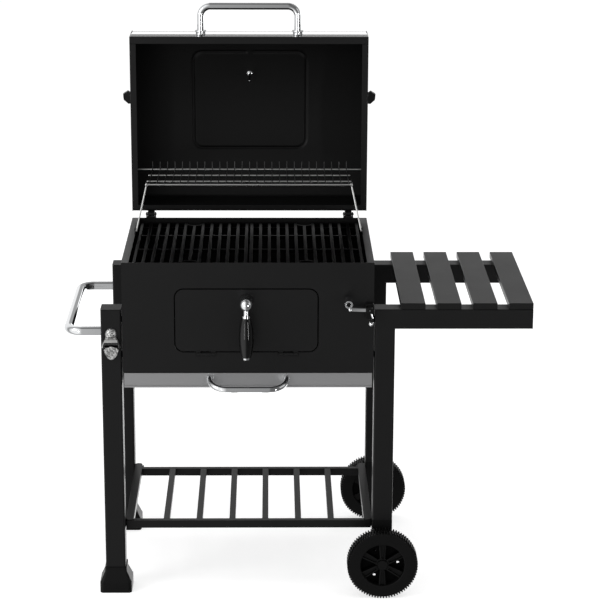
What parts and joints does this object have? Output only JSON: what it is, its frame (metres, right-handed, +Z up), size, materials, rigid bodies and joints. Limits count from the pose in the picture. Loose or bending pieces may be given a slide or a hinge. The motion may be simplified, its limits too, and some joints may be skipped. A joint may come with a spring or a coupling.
{
  "type": "charcoal grill",
  "caption": "Trolley charcoal grill with a rectangular firebox, hinged barrel-curved lid, charcoal door, ash drawer, side table and wheels.",
  "frame": {"origin": "on the ground below the middle of the bounding box, with the lid open", "axes": "+Z up, +X to the side table, -Y to the front with the charcoal door"},
  "size_m": [1.15, 0.7242, 1.416],
  "materials": {
    "frame_paint": "satin black heat-proof paint",
    "chrome": "bright chrome plate",
    "black_plastic": "fine-grained moulded plastic",
    "wheel_plastic": "moulded plastic",
    "zinc": "zinc plate",
    "cast_iron": "matt enamelled casting",
    "heat_paint": "matt black heat-proof paint",
    "grip": "smooth black grip",
    "drawer_silver": "silver-grey satin metal",
    "dial": "printed white face",
    "needle": "red paint",
    "glass": "clear"
  },
  "bodies": {
    "trolley": {"left_front_leg": "frame_paint", "left_rear_leg": "frame_paint", "right_front_frame": "frame_paint", "right_rear_frame": "frame_paint", "tube_caps": "black_plastic", "feet": "black_plastic", "axle_blocks": "black_plastic", "axle": "chrome", "axle_caps": "black_plastic", "shelf_rails": "frame_paint", "shelf_end_bars": "frame_paint", "shelf_slats": "frame_paint", "table_slats": "frame_paint", "table_screws": "zinc", "frame_bolts": "zinc", "side_handle": "chrome", "bottle_opener": "chrome", "firebox_front": "frame_paint", "firebox_left": "frame_paint", "firebox_right": "frame_paint", "firebox_rear": "frame_paint", "grate_ledges": "frame_paint", "drawer_runners": "frame_paint", "crank_bracket": "black_plastic", "crank_rear_bush": "black_plastic", "bracket_bolts": "chrome", "pan_guides": "heat_paint", "hinge_box_leaves": "frame_paint", "hinge_pins": "chrome", "door_hinge_pins": "chrome"},
    "lid": {"lid_shell": "frame_paint", "lid_left_side": "frame_paint", "lid_right_side": "frame_paint", "hinge_lid_leaves": "frame_paint", "lid_handle": "chrome", "handle_rosettes": "chrome", "thermometer_case": "chrome", "thermometer_dial": "dial", "thermometer_glass": "glass", "thermometer_nut": "chrome", "vent_rivets": "chrome"},
    "needle": {"thermometer_needle": "needle"},
    "left_vent": {"vent_left": "frame_paint"},
    "right_vent": {"vent_right": "frame_paint"},
    "rack": {"warming_rack": "chrome"},
    "rack_legs": {"rack_leg_left": "chrome", "rack_leg_right": "chrome"},
    "door": {"charcoal_door": "frame_paint"},
    "door_handle": {"door_handle_stem": "chrome", "door_handle_grip": "grip"},
    "drawer": {"drawer_tray": "heat_paint", "drawer_front": "drawer_silver", "drawer_handle": "chrome"},
    "lift_lever": {"crank_lever": "chrome"},
    "pan": {"charcoal_pan": "heat_paint"},
    "wheel_front": {"front_wheel": "wheel_plastic"},
    "wheel_rear": {"rear_wheel": "wheel_plastic"},
    "grate_left": {"left_grate": "cast_iron"},
    "grate_right": {"right_grate": "cast_iron"}
  },
  "joints": [
    {"name": "lid_hinge", "type": "hinge", "parent": "trolley", "child": "lid", "pos_m": [-0.122, 0.15841, 0.8675], "axis": [1, 0, 0], "range_deg": [0, 90]},
    {"name": "rack_pivot", "type": "hinge", "parent": "lid", "child": "rack", "pos_m": [-0.122, 0.21091, 0.9757], "axis": [1, 0, 0], "range_deg": [-90, 0]},
    {"name": "rack_leg_pivot", "type": "hinge", "parent": "trolley", "child": "rack_legs", "pos_m": [-0.122, -0.02129, 0.8675], "axis": [1, 0, 0], "range_deg": [0, 90]},
    {"name": "needle_spin", "type": "hinge", "parent": "lid", "child": "needle", "pos_m": [-0.122, 0.34215, 1.21], "axis": [0, 0.9826, 0.1855], "range_deg": [-270, 0]},
    {"name": "left_vent_turn", "type": "hinge", "parent": "lid", "child": "left_vent", "pos_m": [-0.43, 0.24591, 1.163], "axis": [1, 0, 0], "range_deg": [0, 60]},
    {"name": "right_vent_turn", "type": "hinge", "parent": "lid", "child": "right_vent", "pos_m": [0.186, 0.24591, 1.163], "axis": [1, 0, 0], "range_deg": [0, 60]},
    {"name": "door_hinge", "type": "hinge", "parent": "trolley", "child": "door", "pos_m": [-0.126, -0.30749, 0.6289], "axis": [1, 0, 0], "range_deg": [0, 90]},
    {"name": "door_handle_turn", "type": "hinge", "parent": "door", "child": "door_handle", "pos_m": [-0.126, -0.31909, 0.765], "axis": [0, 1, 0], "range_deg": [0, 90]},
    {"name": "drawer_slide", "type": "slide", "parent": "trolley", "child": "drawer", "axis": [0, -1, 0], "range_m": [0, 0.36]},
    {"name": "lift_turn", "type": "hinge", "parent": "trolley", "child": "lift_lever", "pos_m": [0.174, -0.26909, 0.747], "axis": [0, 1, 0], "range_deg": [-35, 35]},
    {"name": "pan_lift", "type": "slide", "parent": "trolley", "child": "pan", "axis": [0, 0, 1], "range_m": [-0.0206, 0.0206]},
    {"name": "front_wheel_spin", "type": "hinge", "parent": "trolley", "child": "wheel_front", "pos_m": [0.213, -0.32909, 0.088], "axis": [0, 1, 0], "continuous": true},
    {"name": "rear_wheel_spin", "type": "hinge", "parent": "trolley", "child": "wheel_rear", "pos_m": [0.213, 0.19091, 0.088], "axis": [0, 1, 0], "continuous": true},
    {"name": "left_grate_lift", "type": "slide", "parent": "trolley", "child": "grate_left", "axis": [0, 0, 1], "range_m": [0, 0.01]},
    {"name": "right_grate_lift", "type": "slide", "parent": "trolley", "child": "grate_right", "axis": [0, 0, 1], "range_m": [0, 0.01]}
  ],
  "couplings": [
    {"joint": "rack_pivot", "follows": "lid_hinge", "ratio": -1},
    {"joint": "rack_leg_pivot", "follows": "lid_hinge", "ratio": 1},
    {"joint": "lift_turn", "follows": "pan_lift", "rad_per_m": 29.586}
  ]
}
